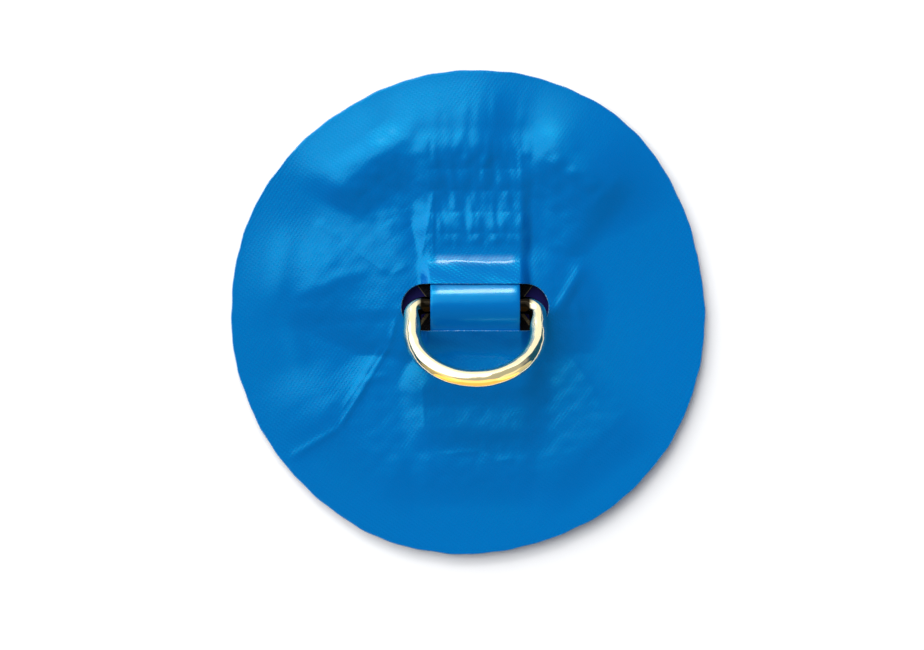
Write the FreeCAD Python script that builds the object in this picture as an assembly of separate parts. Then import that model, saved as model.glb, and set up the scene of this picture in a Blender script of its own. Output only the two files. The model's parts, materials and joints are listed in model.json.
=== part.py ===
import FreeCAD, Part
import math
import os

# Glued-on pad eye for an inflatable boat: a D-ring held by a star of webbing
# straps between two round sheets of PVC-coated fabric.
#
# Row frame: origin at the centre of the patch's underside, which is also the
# centre of the cover's slot. +Z points away from the boat's tube. The ring's
# bar runs along X, the main strap along Y, and the ring leans towards -Y.
# All lengths are in millimetres, angles in degrees.

# ---------------------------------------------------------------- sizes
patch_diameter = 220.0
sheet_thickness = 0.9
ring_inner_width = 50.0
ring_reach = 45.0
wire_diameter = 8.0
ring_corner_radius = 6.0
ring_tilt = 42.0
bar_offset = 1.0
slot_width = 22.0
main_strap_thickness = 1.4
diagonal_width = 32.0
diagonal_thickness = 1.2
diagonal_angle = 37.0
loop_foot = 20.0
thread_diameter = 0.45
thread_row_width = 0.9
main_row_pitch = 10.0
diagonal_row_pitch = 8.0
diagonal_row_count = 3

# ---------------------------------------------------------------- clearances
running_clearance = 0.3
slot_end_clearance = 1.5
strap_side_gap = 4.25
drape_gap = 0.15
row_margin = 3.0
first_row_margin = 13.4
last_row_margin = 6.1
diagonal_row_margin = 9.0
main_strap_margin = 39.5
diagonal_margin = 29.0

# ---------------------------------------------------------------- drape
# How far the cover takes to come down to the base beside each thing under it.
main_drape_run = 10.0
diagonal_drape_run = 8.0
collar_run = 14.0
collar_rise = 4.7
collar_margin_x = 3.5
collar_margin_y = 4.0

# ---------------------------------------------------------------- derived
patch_radius = patch_diameter / 2.0
wire_radius = wire_diameter / 2.0
leg_offset = (ring_inner_width + wire_diameter) / 2.0
slot_length = ring_inner_width + 2.0 * wire_diameter + 2.0 * slot_end_clearance
main_strap_width = ring_inner_width - 2.0 * strap_side_gap
main_strap_reach = patch_radius - main_strap_margin
diagonal_half_length = patch_radius - diagonal_margin

base_top = sheet_thickness
level_one = base_top + diagonal_thickness
level_two = level_one + diagonal_thickness
bar_height = level_two + running_clearance + wire_radius
loop_radius = wire_radius + running_clearance

angle = math.radians(diagonal_angle)
half_diagonal = diagonal_width / 2.0
# Length of diagonal B that lies on top of diagonal A, with a little to spare.
crossing = half_diagonal / math.sin(2.0 * angle)
crossing = crossing + half_diagonal / math.tan(2.0 * angle) + 1.8
crossing_ramp = 5.0
# Where the main strap steps down from the crossing, and then off the
# diagonals on to the base patch.
step_one = (crossing + crossing_ramp) * math.cos(angle) + half_diagonal * math.sin(angle)
step_one = max(step_one, loop_foot + 2.0) + 3.5
step_two = main_strap_width / 2.0 / math.tan(angle) + half_diagonal / math.sin(angle) + 2.0
step_run = 4.0

os.makedirs("parts", exist_ok=True)


def vec(x, y, z):
    return FreeCAD.Vector(x, y, z)


def save(node, shape):
    shape.exportStep("parts/" + node + ".step")


# ------------------------------------------------------------ ribbon profiles
# A ribbon's underside is a line of (s, z) points that runs outwards from its
# middle. The same line moved out along its normals gives its upper face.

def shifted(points, t):
    result = []
    normals = []
    for a, b in zip(points[:-1], points[1:]):
        length = math.hypot(b[0] - a[0], b[1] - a[1])
        normals.append((-(b[1] - a[1]) / length, (b[0] - a[0]) / length))
    result.append((points[0][0] + normals[0][0] * t, points[0][1] + normals[0][1] * t))
    for i in range(1, len(points) - 1):
        n0 = normals[i - 1]
        n1 = normals[i]
        dot = n0[0] * n1[0] + n0[1] * n1[1]
        k = t / (1.0 + dot)
        result.append((points[i][0] + (n0[0] + n1[0]) * k, points[i][1] + (n0[1] + n1[1]) * k))
    result.append((points[-1][0], points[-1][1] + t))
    return result


def main_side(reach):
    # From the tangent point on the loop, down to the foot, and out to the end.
    tangent = 2.0 * math.atan2(loop_radius, loop_foot)
    start = (loop_radius * math.sin(tangent), bar_height + loop_radius * math.cos(tangent))
    lift = bar_height - level_two - loop_radius
    foot = loop_foot + lift / math.tan(tangent)
    points = [start, (foot, level_two)]
    points.append((step_one, level_two))
    points.append((step_one + step_run, level_one))
    if reach > step_two + step_run + 1.0:
        points.append((step_two, level_one))
        points.append((step_two + step_run, base_top))
        points.append((reach, base_top))
    else:
        points.append((max(reach, step_one + step_run + 1.0), level_one))
    return points


def crossing_side():
    return [
        (0.0, level_one),
        (crossing, level_one),
        (crossing + crossing_ramp, base_top),
        (diagonal_half_length, base_top),
    ]


def flat_side():
    return [(0.0, base_top), (diagonal_half_length, base_top)]


def to_local(points, side):
    return [vec(0.0, side * p[0], p[1]) for p in points]


def ribbon(right, left, t0, t1, width, arc_centre):
    # Solid between offsets t0 and t1 of the underside, width along X.
    # With arc_centre the two sides are joined by an arc over the ring's bar.
    edges = []

    def run(points):
        for a, b in zip(points[:-1], points[1:]):
            if a.distanceToPoint(b) > 1e-6:
                edges.append(Part.makeLine(a, b))

    low_left = to_local(shifted(left, t0), -1.0)
    low_right = to_local(shifted(right, t0), 1.0)
    top_left = to_local(shifted(left, t1), -1.0)
    top_right = to_local(shifted(right, t1), 1.0)
    run(list(reversed(low_left)))
    if arc_centre is not None:
        crown = vec(0.0, 0.0, arc_centre + loop_radius + t0)
        edges.append(Part.Arc(low_left[0], crown, low_right[0]).toShape())
    run(low_right)
    run([low_right[-1], top_right[-1]])
    run(list(reversed(top_right)))
    if arc_centre is not None:
        crown = vec(0.0, 0.0, arc_centre + loop_radius + t1)
        edges.append(Part.Arc(top_right[0], crown, top_left[0]).toShape())
    run(top_left)
    run([top_left[-1], low_left[-1]])
    face = Part.Face(Part.Wire(edges))
    face.translate(vec(-width / 2.0, 0.0, 0.0))
    return face.extrude(vec(width, 0.0, 0.0))


def turned(shape, degrees):
    # Turn about the crossing's centre, which lies under the ring's bar.
    shape.rotate(vec(0.0, 0.0, 0.0), vec(0.0, 0.0, 1.0), degrees)
    shape.translate(vec(0.0, bar_offset, 0.0))
    return shape


def stitched(right, left, thickness, width, rows_right, rows_left, arc_centre):
    # A ribbon with grooves along its sewn rows, and the thread in each group.
    body = ribbon(right, left, 0.0, thickness, width, arc_centre)
    inner = thickness - thread_diameter
    skin = ribbon(right, left, inner, thickness, width - 2.0 * row_margin, arc_centre)
    groups = []
    for side, rows in ((1.0, rows_right), (-1.0, rows_left)):
        seams = []
        for row in rows:
            slab = Part.makeBox(width, thread_row_width, 40.0)
            slab.translate(vec(-width / 2.0, side * row - thread_row_width / 2.0, 0.0))
            seams.append(skin.common(slab))
        group = Part.makeCompound([s for seam in seams for s in seam.Solids])
        groups.append(group)
        for seam in seams:
            body = body.cut(seam)
    return body, groups[0], groups[1]


# ------------------------------------------------------------ tents
# A tent is the space a ribbon takes up under the cover: flat over the ribbon,
# with sloping sides and ends, and a skirt below the base patch's top.

def polyhedron(faces):
    shapes = []
    for points in faces:
        shapes.append(Part.Face(Part.makePolygon(points + [points[0]])))
    shell = Part.makeShell(shapes)
    solid = Part.makeSolid(shell)
    if solid.Volume < 0.0:
        solid.reverse()
    return solid


def tent(stations, half_width, run):
    # stations: (s, z) along the ribbon, the first and last at its two ends.
    ground = base_top
    depth = base_top - 2.0
    wide = half_width + run
    first = stations[0][0] - run
    last = stations[-1][0] + run
    outline = [vec(-half_width, first, ground), vec(half_width, first, ground)]
    outline += [vec(wide, s, ground) for s, z in stations]
    outline += [vec(half_width, last, ground), vec(-half_width, last, ground)]
    outline += [vec(-wide, s, ground) for s, z in reversed(stations)]
    faces = []
    count = len(outline)
    for i in range(count):
        a = outline[i]
        b = outline[(i + 1) % count]
        faces.append([a, b, vec(b.x, b.y, depth), vec(a.x, a.y, depth)])
    faces.append([vec(p.x, p.y, depth) for p in outline])
    right = [vec(half_width, s, z) for s, z in stations]
    left = [vec(-half_width, s, z) for s, z in stations]
    low_right = [vec(wide, s, ground) for s, z in stations]
    low_left = [vec(-wide, s, ground) for s, z in stations]
    for i in range(len(stations) - 1):
        faces.append([left[i], right[i], right[i + 1], left[i + 1]])
        faces.append([right[i], low_right[i], low_right[i + 1]])
        faces.append([right[i], low_right[i + 1], right[i + 1]])
        faces.append([left[i], low_left[i + 1], low_left[i]])
        faces.append([left[i], left[i + 1], low_left[i + 1]])
    a = vec(half_width, first, ground)
    b = vec(-half_width, first, ground)
    faces.append([right[0], left[0], b, a])
    faces.append([right[0], a, low_right[0]])
    faces.append([left[0], low_left[0], b])
    c = vec(half_width, last, ground)
    d = vec(-half_width, last, ground)
    faces.append([right[-1], c, d, left[-1]])
    faces.append([right[-1], low_right[-1], c])
    faces.append([left[-1], d, low_left[-1]])
    return polyhedron(faces)


def both_sides(right, left, t):
    up = shifted(right, t)
    down = shifted(left, t)
    points = [(-p[0], p[1]) for p in reversed(down) if p[0] > 1e-6]
    points += [p for p in up if p[0] > 1e-6]
    return points


def collar():
    # Low frustum around the slot, with cut corners.
    half_x = slot_length / 2.0 + collar_margin_x
    half_y = slot_width / 2.0 + collar_margin_y
    cut = half_y * 0.6

    def octagon(grow, z):
        x = half_x + grow
        y = half_y + grow
        c = cut + grow * 0.586
        return [
            vec(x - c, -y, z), vec(x, -y + c, z), vec(x, y - c, z), vec(x - c, y, z),
            vec(-x + c, y, z), vec(-x, y - c, z), vec(-x, -y + c, z), vec(-x + c, -y, z),
        ]

    depth = base_top - 2.0
    top = octagon(0.0, base_top + collar_rise)
    ground = octagon(collar_run, base_top)
    faces = [top, [vec(p.x, p.y, depth) for p in ground]]
    for i in range(8):
        j = (i + 1) % 8
        faces.append([top[i], ground[i], ground[j]])
        faces.append([top[i], ground[j], top[j]])
        low_i = vec(ground[i].x, ground[i].y, depth)
        low_j = vec(ground[j].x, ground[j].y, depth)
        faces.append([ground[i], low_i, low_j, ground[j]])
    return polyhedron(faces)


# ------------------------------------------------------------ base patch
base_patch = Part.makeCylinder(patch_radius, sheet_thickness)

# ------------------------------------------------------------ diagonal straps
diagonal_rows = []
for i in range(diagonal_row_count):
    row = diagonal_half_length - diagonal_row_margin - i * diagonal_row_pitch
    diagonal_rows.append(row)
strap_a, a_top, a_bottom = stitched(
    flat_side(), flat_side(), diagonal_thickness, diagonal_width,
    diagonal_rows, diagonal_rows, None)
strap_b, b_top, b_bottom = stitched(
    crossing_side(), crossing_side(), diagonal_thickness, diagonal_width,
    diagonal_rows, diagonal_rows, None)
for shape in (strap_a, a_top, a_bottom):
    turned(shape, diagonal_angle)
for shape in (strap_b, b_top, b_bottom):
    turned(shape, -diagonal_angle)

# ------------------------------------------------------------ main strap
upper_side = main_side(main_strap_reach - bar_offset)
lower_side = main_side(main_strap_reach + bar_offset)


def main_rows(points):
    # Evenly spaced cross rows between the strap's foot and its end.
    first = points[1][0] + first_row_margin
    last = points[-1][0] - last_row_margin
    gaps = max(1, round((last - first) / main_row_pitch))
    return [first + (last - first) * i / gaps for i in range(gaps + 1)]


main_strap, main_top, main_bottom = stitched(
    upper_side, lower_side, main_strap_thickness, main_strap_width,
    main_rows(upper_side), main_rows(lower_side), bar_height)
for shape in (main_strap, main_top, main_bottom):
    turned(shape, 0.0)

# ------------------------------------------------------------ cover patch
tents = [
    turned(tent(both_sides(upper_side, lower_side, main_strap_thickness + drape_gap),
                main_strap_width / 2.0 + drape_gap, main_drape_run), 0.0),
    turned(tent(both_sides(flat_side(), flat_side(), diagonal_thickness + drape_gap),
                half_diagonal + drape_gap, diagonal_drape_run), diagonal_angle),
    turned(tent(both_sides(crossing_side(), crossing_side(), diagonal_thickness + drape_gap),
                half_diagonal + drape_gap, diagonal_drape_run), -diagonal_angle),
    collar(),
]
disc = Part.makeCylinder(patch_radius, sheet_thickness, vec(0.0, 0.0, base_top))
cover_patch = disc
for shape in tents:
    raised = shape.copy()
    raised.translate(vec(0.0, 0.0, sheet_thickness))
    cover_patch = cover_patch.fuse(raised)
bounds = Part.makeCylinder(patch_radius, 40.0, vec(0.0, 0.0, base_top))
cover_patch = cover_patch.common(bounds)
for shape in tents:
    cover_patch = cover_patch.cut(shape)

slot_radius = slot_width / 2.0
slot_straight = slot_length / 2.0 - slot_radius
slot_wire = Part.Wire([
    Part.makeLine(vec(-slot_straight, -slot_radius, 0.0), vec(slot_straight, -slot_radius, 0.0)),
    Part.Arc(vec(slot_straight, -slot_radius, 0.0), vec(slot_length / 2.0, 0.0, 0.0),
             vec(slot_straight, slot_radius, 0.0)).toShape(),
    Part.makeLine(vec(slot_straight, slot_radius, 0.0), vec(-slot_straight, slot_radius, 0.0)),
    Part.Arc(vec(-slot_straight, slot_radius, 0.0), vec(-slot_length / 2.0, 0.0, 0.0),
             vec(-slot_straight, -slot_radius, 0.0)).toShape(),
])
slot = Part.Face(slot_wire).extrude(vec(0.0, 0.0, 60.0))
cover_patch = cover_patch.cut(slot)

# ------------------------------------------------------------ ring
# Made flat in the XY plane with its bar on the X axis, then leaned and lifted.
corner = ring_corner_radius
bow_radius = leg_offset
leg_top = ring_reach - bow_radius


def rod(start, end):
    line = end - start
    return Part.makeCylinder(wire_radius, line.Length, start, line)


def bend(centre, radius, start_angle, sweep):
    first = math.radians(start_angle)
    at = centre + vec(radius * math.cos(first), radius * math.sin(first), 0.0)
    along = vec(-math.sin(first), math.cos(first), 0.0)
    section = Part.Face(Part.Wire(Part.makeCircle(wire_radius, at, along)))
    return section.revolve(centre, vec(0.0, 0.0, 1.0), sweep)


d_ring = rod(vec(-leg_offset + corner, 0.0, 0.0), vec(leg_offset - corner, 0.0, 0.0))
pieces = [
    bend(vec(leg_offset - corner, corner, 0.0), corner, -90.0, 90.0),
    rod(vec(leg_offset, corner, 0.0), vec(leg_offset, leg_top, 0.0)),
    bend(vec(0.0, leg_top, 0.0), bow_radius, 0.0, 180.0),
    rod(vec(-leg_offset, leg_top, 0.0), vec(-leg_offset, corner, 0.0)),
    bend(vec(-leg_offset + corner, corner, 0.0), corner, 180.0, 90.0),
]
for shape in pieces:
    d_ring = d_ring.fuse(shape)
d_ring = d_ring.removeSplitter()
d_ring.rotate(vec(0.0, 0.0, 0.0), vec(0.0, 0.0, 1.0), 180.0)
d_ring.rotate(vec(0.0, 0.0, 0.0), vec(1.0, 0.0, 0.0), -ring_tilt)
d_ring.translate(vec(0.0, bar_offset, bar_height))

# ------------------------------------------------------------ files
save("base_patch", base_patch)
save("diagonal_strap_a", strap_a)
save("diagonal_strap_b", strap_b)
save("main_strap", main_strap)
save("cover_patch", cover_patch)
save("d_ring", d_ring)
save("stitching_main_upper", main_top)
save("stitching_main_lower", main_bottom)
save("stitching_diagonal_a_upper", a_top)
save("stitching_diagonal_a_lower", a_bottom)
save("stitching_diagonal_b_upper", b_top)
save("stitching_diagonal_b_lower", b_bottom)
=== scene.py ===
"""Looks of a glued-on pad eye: a D-ring on a star of webbing between two round
sheets of PVC-coated fabric. Laid out as an add-on and run as a script.

Shapes are worked out in millimetres in the row frame: origin under the slot's
centre, +Z away from the boat, the ring's bar along X, the main strap along Y.
"""

import json
import math

import bpy
import numpy as np
from bpy.props import FloatProperty, FloatVectorProperty, PointerProperty
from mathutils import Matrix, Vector


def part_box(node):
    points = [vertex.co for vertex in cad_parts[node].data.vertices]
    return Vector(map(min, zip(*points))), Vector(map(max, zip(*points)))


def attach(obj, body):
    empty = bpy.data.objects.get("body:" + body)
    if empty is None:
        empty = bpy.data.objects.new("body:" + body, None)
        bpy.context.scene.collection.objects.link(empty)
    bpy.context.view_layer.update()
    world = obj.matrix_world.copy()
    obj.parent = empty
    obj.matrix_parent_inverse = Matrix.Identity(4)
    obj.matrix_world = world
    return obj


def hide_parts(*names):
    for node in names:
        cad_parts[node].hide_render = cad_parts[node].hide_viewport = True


bl_info = {
    "name": "Pad Eye Looks",
    "version": (1, 0, 0),
    "blender": (4, 5, 0),
    "location": "View3D > Sidebar > Pad Eye",
    "description": "Builds the draped sheets, straps, stitching, ring and stage of a fabric pad eye",
    "category": "Object",
}

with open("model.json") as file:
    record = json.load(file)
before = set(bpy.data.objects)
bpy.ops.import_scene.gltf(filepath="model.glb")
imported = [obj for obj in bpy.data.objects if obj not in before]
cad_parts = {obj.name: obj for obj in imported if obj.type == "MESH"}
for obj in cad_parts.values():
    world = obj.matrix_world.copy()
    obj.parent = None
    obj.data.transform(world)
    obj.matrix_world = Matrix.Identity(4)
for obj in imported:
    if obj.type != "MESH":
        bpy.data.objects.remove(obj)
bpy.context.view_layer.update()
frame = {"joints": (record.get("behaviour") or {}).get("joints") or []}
HINGE = frame["joints"][0]
MM = 0.001


def box_mm(node):
    """Lowest and highest corner of a CAD node, in millimetres."""
    low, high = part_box(node)
    return np.array(low) / MM, np.array(high) / MM


STRAP_LOW, STRAP_HIGH = box_mm("main_strap")
BAR_Y, BAR_Z = HINGE["pos_m"][1] / MM, HINGE["pos_m"][2] / MM
SHEET = box_mm("base_patch")[1][2]  # thickness of each round sheet
STRAP_HALF = STRAP_HIGH[0]
STRAP_THICK = 1.4
WEBBING_HALF = 16.0
WEBBING_THICK = 1.2
ARM_ANGLE = math.radians(37.0)
ARM_LENGTH = 81.0  # from the bar to each end of a diagonal
DRAPE_GAP = 0.15  # air between the cover and the straps

# The main strap's hump over the bar: how far its underside clears the bar's axis,
# how steep its flanks are, how round its top is and how round its feet are.
CROWN = 4.35
FLANK = 0.53
ROUND = 6.0
FOOT = 0.7

# Where the main strap steps down from the diagonals' crossing, and then off them.
STEPS = (35.5, 56.1)

# Stitch rows, by their distance from the bar along the strap.
MAIN_ROWS = (33.4, 43.4, 53.4, 63.4)
ARM_ROWS = (56.0, 64.0, 72.0)
THREAD_RADIUS = 0.22

# The stack stays flat inside LEVEL, and beyond it climbs to the curled rim.
LEVEL = 46.0
CLIMB = 0.076
BEND = 4.0

AROUND = 560  # points round each sheet


def srgb(text):
    """Linear RGBA from an sRGB hex value, by the sRGB curve."""
    values = [int(text[i:i + 2], 16) / 255.0 for i in (0, 2, 4)]
    linear = [v / 12.92 if v <= 0.04045 else ((v + 0.055) / 1.055) ** 2.4 for v in values]
    return (*linear, 1.0)


# ------------------------------------------------------------------ numbers


def ease(u):
    """Smooth step: 0 below 0, 1 above 1, and 3u^2 - 2u^3 between."""
    u = np.clip(u, 0.0, 1.0)
    return u * u * (3.0 - 2.0 * u)


def soft_floor(value, width):
    """Smooth version of max(value, 0): width times log(1 + exp(value / width))."""
    return width * np.logaddexp(0.0, value / width)


def blend_max(parts, power=7.0):
    """Smooth maximum of several height fields: the power mean without its division."""
    return sum(np.maximum(p, 0.0) ** power for p in parts) ** (1.0 / power)


def waves(x, y, shortest, longest, count, seed):
    """Gentle unevenness between -1 and 1: the mean of plane cosine waves whose
    lengths lie between shortest and longest, at seeded directions and phases."""
    chance = np.random.default_rng(seed)
    length = chance.uniform(shortest, longest, count)
    turn = chance.uniform(0.0, 2.0 * math.pi, count)
    phase = chance.uniform(0.0, 2.0 * math.pi, count)
    total = np.zeros_like(x)
    for size, angle, start in zip(length, turn, phase):
        along = x * math.cos(angle) + y * math.sin(angle)
        total += np.cos(2.0 * math.pi * along / size + start)
    return total / math.sqrt(count) / 1.6


def ridges(x, y, table):
    """Sum of long low ridges. Each row is x, y, angle in degrees, half length,
    half width and height: height * exp(-(along / half length)^4) times
    exp(-(across / half width)^2)."""
    total = np.zeros_like(x)
    for cx, cy, angle, half_length, half_width, height in table:
        c, s = math.cos(math.radians(angle)), math.sin(math.radians(angle))
        along = (x - cx) * c + (y - cy) * s
        across = -(x - cx) * s + (y - cy) * c
        total += height * np.exp(-(along / half_length) ** 4 - (across / half_width) ** 2)
    return total


def folds(x, y, table):
    """Sharp folds along lines. Each row is x0, y0, x1, y1, width and height:
    height * exp(-distance from the line / width), fading near both ends."""
    total = np.zeros_like(x)
    for x0, y0, x1, y1, width, height in table:
        dx, dy = x1 - x0, y1 - y0
        length = math.hypot(dx, dy)
        t = ((x - x0) * dx + (y - y0) * dy) / length ** 2
        t_near = np.clip(t, 0.0, 1.0)
        away = np.hypot(x - x0 - t_near * dx, y - y0 - t_near * dy)
        fade = ease(t_near * length / 6.0 + 0.25) * ease((1.0 - t_near) * length / 6.0 + 0.25)
        total += height * fade * np.exp(-np.sqrt(away ** 2 + 0.16) / width + 0.4 / width)
    return total


# ------------------------------------------------------------------ the lie of the patch


def outline(angle):
    """Radius of the hand-cut round at each polar angle about the slot's centre:
    a circle plus a few cosine waves for the off-centre cut and its flats."""
    wobble = (
        (1, -2.8, -1.9), (2, -1.2, 0.5), (3, -0.7, 0.0), (4, -0.3, -0.5),
        (5, -0.2, -0.1), (7, 0.2, -0.1), (13, 0.06, -0.09), (19, 0.07, 0.04),
        (31, 0.07, -0.06), (53, 0.07, -0.08),
    )
    radius = np.full_like(angle, settings().outline_radius / MM)
    for count, c, s in wobble:
        radius += c * np.cos(count * angle) + s * np.sin(count * angle)
    return radius


def slot_edge(angle):
    """Radius of the obround slot at each polar angle: the ray from the centre meets
    either a straight side, half width / |sin|, or an end's half circle."""
    half_width = settings().slot_width / MM / 2.0
    straight = (settings().slot_length - settings().slot_width) / MM / 2.0
    c, s = np.abs(np.cos(angle)), np.abs(np.sin(angle))
    side = half_width / np.maximum(s, 1e-9)
    end = c * straight + np.sqrt(np.maximum(half_width ** 2 - (s * straight) ** 2, 0.0))
    return np.where(side * c <= straight, side, end)


def lift(x, y):
    """Height of the whole bonded stack over the floor. It is zero round the ring,
    climbs evenly to the curled-up rim on one side, and on the other swells past
    the strap ends and slopes back down to the rim in a few lobes. A lobe is its
    height times a rise and a fall along the radius, times a smooth angular gate."""
    r = np.hypot(x, y)
    a = np.degrees(np.arctan2(y, x)) % 360.0
    toward = 0.56 + 0.44 * np.cos(np.radians(a + 45.0))
    total = CLIMB * soft_floor(r - LEVEL, BEND) * toward
    for first, last, soft, peak, inner, fall, height in LOBES:
        gate = ease((a - first) / soft) * ease((last - a) / soft)
        rise = ease((r - peak + inner) / inner)
        total = total + height * gate * rise * (1.0 - ease((r - peak) / fall))
    start = CLIMB * soft_floor(-10.0, BEND)
    return np.maximum(total - start, 0.0) * ease((r - 40.0) / 14.0)


# first angle, last angle, softness, peak radius, rise inside it, fall outside it, height
LOBES = (
    (26.0, 86.0, 26.0, 82.0, 26.0, 36.0, 4.1),
    (72.0, 126.0, 18.0, 79.0, 28.0, 38.0, 4.4),
    (112.0, 147.0, 12.0, 85.0, 24.0, 32.0, 3.3),
    (149.0, 188.0, 19.0, 76.0, 26.0, 38.0, 2.2),
    (197.0, 224.0, 12.0, 84.0, 18.0, 32.0, 1.3),
)


def strap_under(s, run=4.0):
    """Height of the main strap's underside at s along it from the bar: level steps
    over the webbing, each taking run to fall, and a hyperbola-shaped hump over the
    ring's bar."""
    d = np.abs(s)
    steps = SHEET + sum(WEBBING_THICK * (1.0 - ease((d - step) / run)) for step in STEPS)
    level = SHEET + 2.0 * WEBBING_THICK
    hump = BAR_Z + CROWN - level - FLANK * (np.sqrt(d * d + ROUND ** 2) - ROUND)
    return steps + soft_floor(hump, FOOT)


def webbing_under(s, crossing):
    """Height of a diagonal's underside: flat, with a smooth step over the other one."""
    raised = WEBBING_THICK * (1.0 - ease((np.abs(s) - 23.0) / 5.0))
    return SHEET + raised * crossing


def along_arm(x, y, side):
    """Distance along and across a diagonal strap: side 1 leans to -X as it goes up."""
    c, s = math.cos(ARM_ANGLE), math.sin(ARM_ANGLE)
    up = y - BAR_Y
    return up * c - side * x * s, x * c + side * up * s


def side_fall(distance, run):
    """1 inside, then down to 0 over run with a rounded shoulder and a soft foot."""
    return 1.0 - ease(np.maximum(distance, 0.0) / run) ** 0.85


def quilt(s, rows, puff, start, end):
    """Puffs between evenly spaced stitch rows, puff * |sin|^0.7 of the place between
    two rows, from start to end along the strap."""
    pitch = rows[1] - rows[0]
    wave = np.abs(np.sin(math.pi * (np.abs(s) - rows[0]) / pitch)) ** 0.7
    return puff * wave * ease((np.abs(s) - start) / 4.0) * ease((end - np.abs(s)) / 4.0)


def wrinkles(x, y, across, along, count, seed):
    """Uneven wrinkles that run up the sheet: the mean of count plane waves whose
    crests are across apart in x and along apart in y, both given as ranges."""
    chance = np.random.default_rng(seed)
    kx = 2.0 * math.pi / chance.uniform(*across, count)
    ky = 2.0 * math.pi / chance.uniform(*along, count) * chance.choice([-1.0, 1.0], count)
    phase = chance.uniform(0.0, 2.0 * math.pi, count)
    total = sum(np.cos(a * x + b * y + c) for a, b, c in zip(kx, ky, phase))
    return total / math.sqrt(count)


def drape(x, y):
    """Height of the cover's underside over the base sheet: the smooth maximum of
    what the straps, their crossing and the slot's collar push up, plus puckers."""
    s_main = y - BAR_Y
    # Below the slot the cover is slacker, and falls off the straps more gently.
    loose = ease((-y - 12.0) / 28.0)
    slope = FLANK * s_main / np.sqrt(s_main ** 2 + ROUND ** 2)
    rise = strap_under(s_main, 13.0) - SHEET + STRAP_THICK * np.sqrt(1.0 + slope ** 2) + DRAPE_GAP
    ends = side_fall(np.maximum(y - STRAP_HIGH[1], STRAP_LOW[1] - y), 14.0 + 10.0 * loose)
    across = np.abs(x) - STRAP_HALF - DRAPE_GAP
    run = 9.5 + 16.0 * loose + 4.0 * ease((y - 48.0) / 16.0)
    run = run + 5.0 * ease((y - 12.0) / 8.0) * (x < 0.0)
    main = rise * side_fall(across, run) * ends
    on_main = side_fall(across, 3.0) * ends
    # Quilting and crumples on the main strap, strong above the slot only.
    puffs = quilt(s_main, MAIN_ROWS, 0.3, 27.0, 71.0) * on_main
    puffs = puffs * (0.7 + 0.5 * wrinkles(x, y, (7.0, 13.0), (60.0, 90.0), 4, 3))
    crumple = wrinkles(x, y, (3.0, 9.0), (14.0, 60.0), 12, 8)
    crumple = crumple * (0.8 + 0.6 * waves(x, y, 8.0, 18.0, 8, 52))
    puffs = puffs + 0.1 * crumple * on_main * ease((np.abs(s_main) - 24.0) / 8.0)
    puffs = puffs * (0.14 + 0.86 * ease((s_main - 20.0) / 8.0))
    arms = []
    for side, crossing in ARMS:
        s, t = along_arm(x, y, side)
        top = webbing_under(s, crossing) - SHEET + WEBBING_THICK + DRAPE_GAP
        edge = side_fall(np.abs(t) - WEBBING_HALF - DRAPE_GAP, 13.0 + 9.0 * loose)
        reach = side_fall(np.abs(s) - ARM_LENGTH, 14.0 + 8.0 * loose)
        arms.append(top * edge * reach)
        beads = 0.8 + 0.7 * wrinkles(t, s, (8.0, 14.0), (14.0, 30.0), 4, 12)
        rows = quilt(s, ARM_ROWS, 0.12, 38.0, 82.0) * beads * (0.7 + 0.3 * np.sign(y))
        puffs = puffs + rows * side_fall(np.abs(t) - WEBBING_HALF + 2.0, 4.0) * (1.0 - on_main)
    # The collar round the slot, wider to the left, and lower where the ring lies down.
    half_x = settings().slot_length / MM / 2.0
    half_y = settings().slot_width / MM / 2.0
    away = np.hypot(np.maximum(np.abs(x) - half_x + half_y, 0.0), y) - half_y
    spread = 30.0 + 34.0 * ease((-x - 20.0) / 20.0) * ease((y + 26.0) / 26.0)
    collar = (4.8 - 0.8 * ease(-y / 8.0)) * (1.0 - ease((away + 2.0) / spread))
    height = blend_max([main, *arms, collar])
    star = ease(height / 1.2) * ease((np.hypot(x, y - BAR_Y) - 26.0) / 10.0)
    height = height + puffs + 0.07 * star * (1.0 + waves(x, y, 6.0, 15.0, 14, 5))
    # Gathers that fan out beyond the main strap's upper end.
    gathered = ease((y - 69.0) / 6.0) * ease((106.0 - y) / 16.0) * ease((30.0 - np.abs(x - 4.0)) / 14.0)
    fan = wrinkles(x * (1.0 - 0.004 * y), y, (3.6, 11.0), (34.0, 110.0), 14, 21)
    height = height + 0.08 * gathered * (1.0 + fan) * (0.7 + 0.6 * waves(x, y, 9.0, 22.0, 8, 51))
    over_bar = on_main * ease((26.0 - np.abs(s_main)) / 8.0)
    height = height + 0.15 * over_bar * waves(x, y, 8.0, 20.0, 7, 31)
    height = height + ridges(x, y, GATHERS) + folds(x, y, CREASES)
    return np.maximum(height, 0.0) + 0.02


# Each diagonal's side, as place_arm takes it, and whether it crosses over the other.
ARMS = ((1.0, False), (-1.0, True))

# x, y, angle, half length, half width, height
GATHERS = (
    (-58.0, 68.0, 20.0, 20.0, 4.5, 0.3), (-34.0, 80.0, 50.0, 12.0, 5.0, 0.2),
    (-90.0, 18.0, 80.0, 16.0, 5.0, 0.4), (-84.0, -16.0, 105.0, 16.0, 4.5, 0.3),
    (-66.0, 12.0, 20.0, 16.0, 3.4, 0.4), (44.0, 8.0, 62.0, 11.0, 3.0, 0.6),
    (48.0, -4.0, 100.0, 8.0, 2.5, 0.4), (43.0, 64.0, -20.0, 16.0, 4.0, 0.3),
    (-53.0, -38.0, 60.0, 6.0, 2.6, 0.3), (-47.0, -33.0, 12.0, 7.0, 2.0, 0.25),
)

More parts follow.
